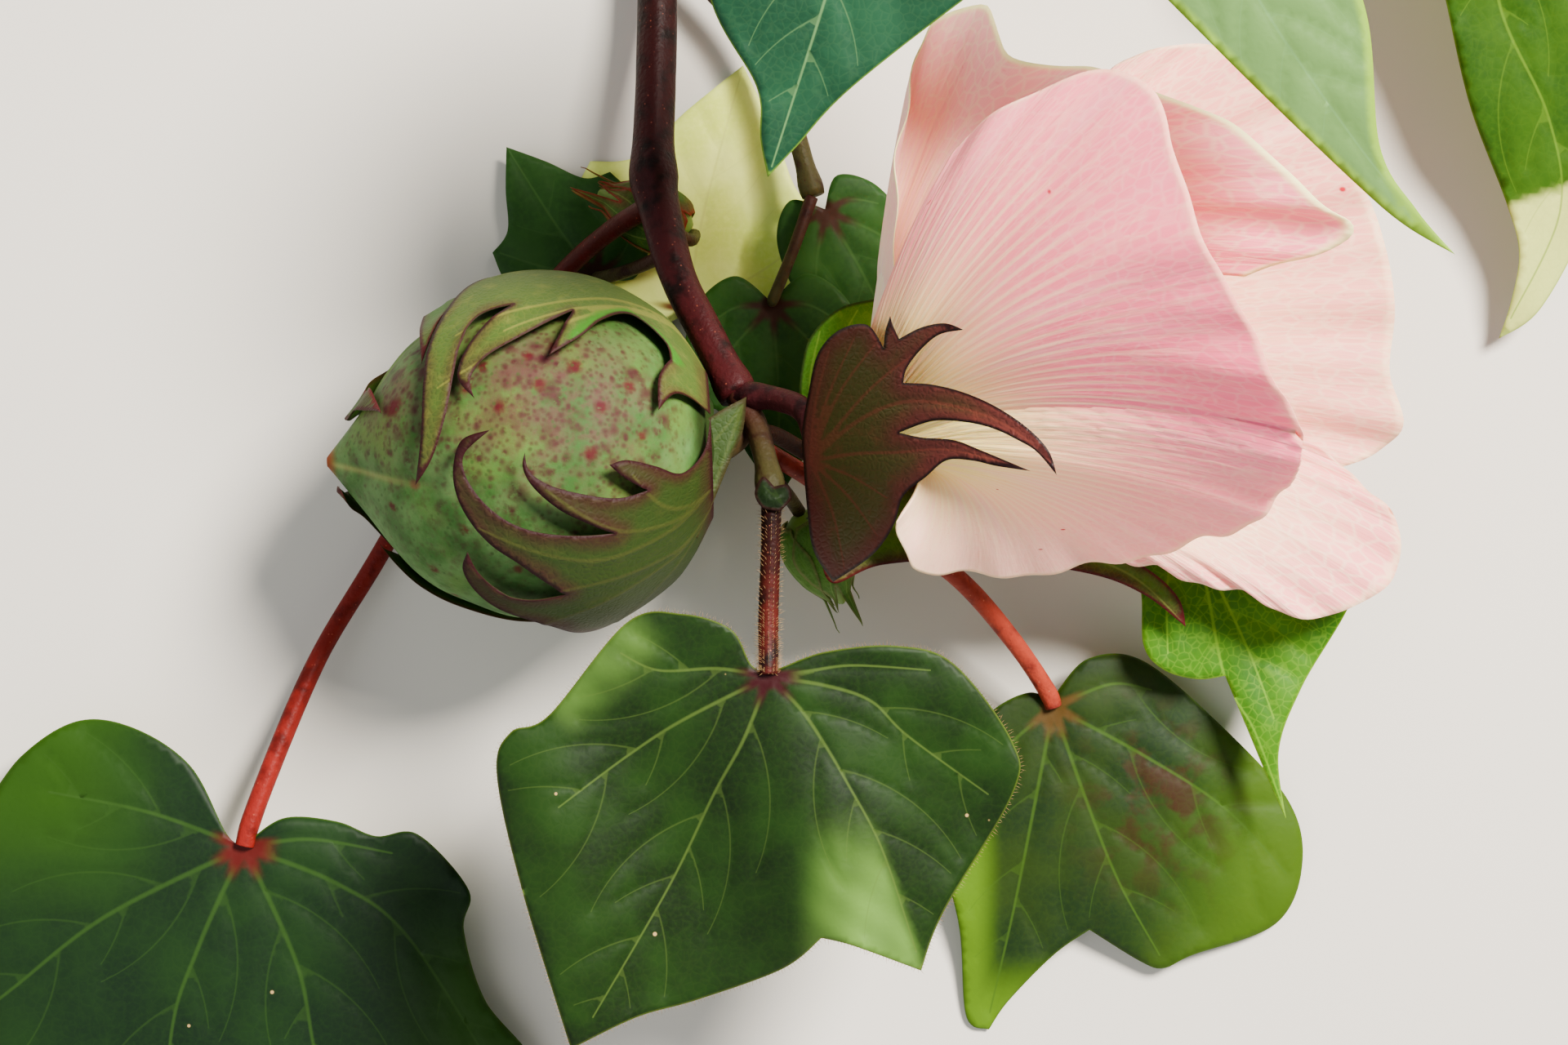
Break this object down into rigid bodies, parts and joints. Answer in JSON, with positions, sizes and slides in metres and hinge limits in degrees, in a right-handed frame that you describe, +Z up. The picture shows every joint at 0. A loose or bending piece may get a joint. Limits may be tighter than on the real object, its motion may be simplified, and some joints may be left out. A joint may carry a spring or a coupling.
{
  "type": "cut cotton branch with boll and flower",
  "caption": "Cut branch of a cotton plant that lies flat, with a green boll in toothed bracts, an open pink flower, buds and broad leaves.",
  "frame": {"origin": "on the table under the middle of the whole branch", "axes": "+Z up from the table; +Y towards the stem's cut end; +X from the boll towards the flower"},
  "size_m": [0.225, 0.197, 0.082],
  "materials": {
    "bark": "smooth young bark",
    "green_stalk": "smooth green stalk",
    "red_stalk": "smooth red stalk",
    "dark_stalk": "smooth dark maroon stalk",
    "boll_wall": "waxy pale green with purple blotches and spots",
    "boll_bract": "dull green, brown purple towards its edges",
    "calyx": "soft green",
    "flower_bract": "dark brown purple with reddish veins",
    "petal": "thin and silky, cream at the foot and pink above",
    "stamen": "powdery",
    "dark_leaf": "satin dark green with paler veins",
    "bright_leaf": "satin bright green",
    "pale_leaf": "matte pale green"
  },
  "bodies": {
    "root": {"stem_main": "bark", "stem_side": "green_stalk", "branch_right": "bark", "twig_back": "green_stalk", "boll": "boll_wall", "boll_stalk": "green_stalk", "boll_bract_lower": "boll_bract", "boll_bract_upper": "boll_bract", "boll_bract_back": "boll_bract", "flower_calyx": "calyx", "flower_stalk": "dark_stalk", "stamen_column": "stamen", "petal_front": "petal", "petal_left": "petal", "petal_back": "petal", "petal_right": "petal", "petal_lower": "petal", "flower_bract_front": "flower_bract", "flower_bract_left": "flower_bract", "flower_bract_under": "flower_bract", "leaf_near": "dark_leaf", "leaf_lower_left": "dark_leaf", "leaf_lower_right": "dark_leaf", "leaf_by_flower": "bright_leaf", "leaf_top": "pale_leaf", "leaf_right": "bright_leaf", "leaf_back_pale": "pale_leaf", "leaf_back_left": "dark_leaf", "leaf_back_small": "dark_leaf", "leaf_back_heart": "dark_leaf", "stalk_near": "dark_stalk", "stalk_lower_left": "red_stalk", "stalk_lower_right": "red_stalk", "stalk_by_flower": "green_stalk", "stalk_top": "green_stalk", "stalk_back_pale": "green_stalk", "stalk_back_left": "green_stalk", "stalk_back_heart": "green_stalk", "bud_upper": "calyx", "bud_upper_stalk": "green_stalk", "bud_lower": "calyx", "bud_lower_stalk": "green_stalk", "stipule": "dark_leaf"}
  },
  "joints": []
}
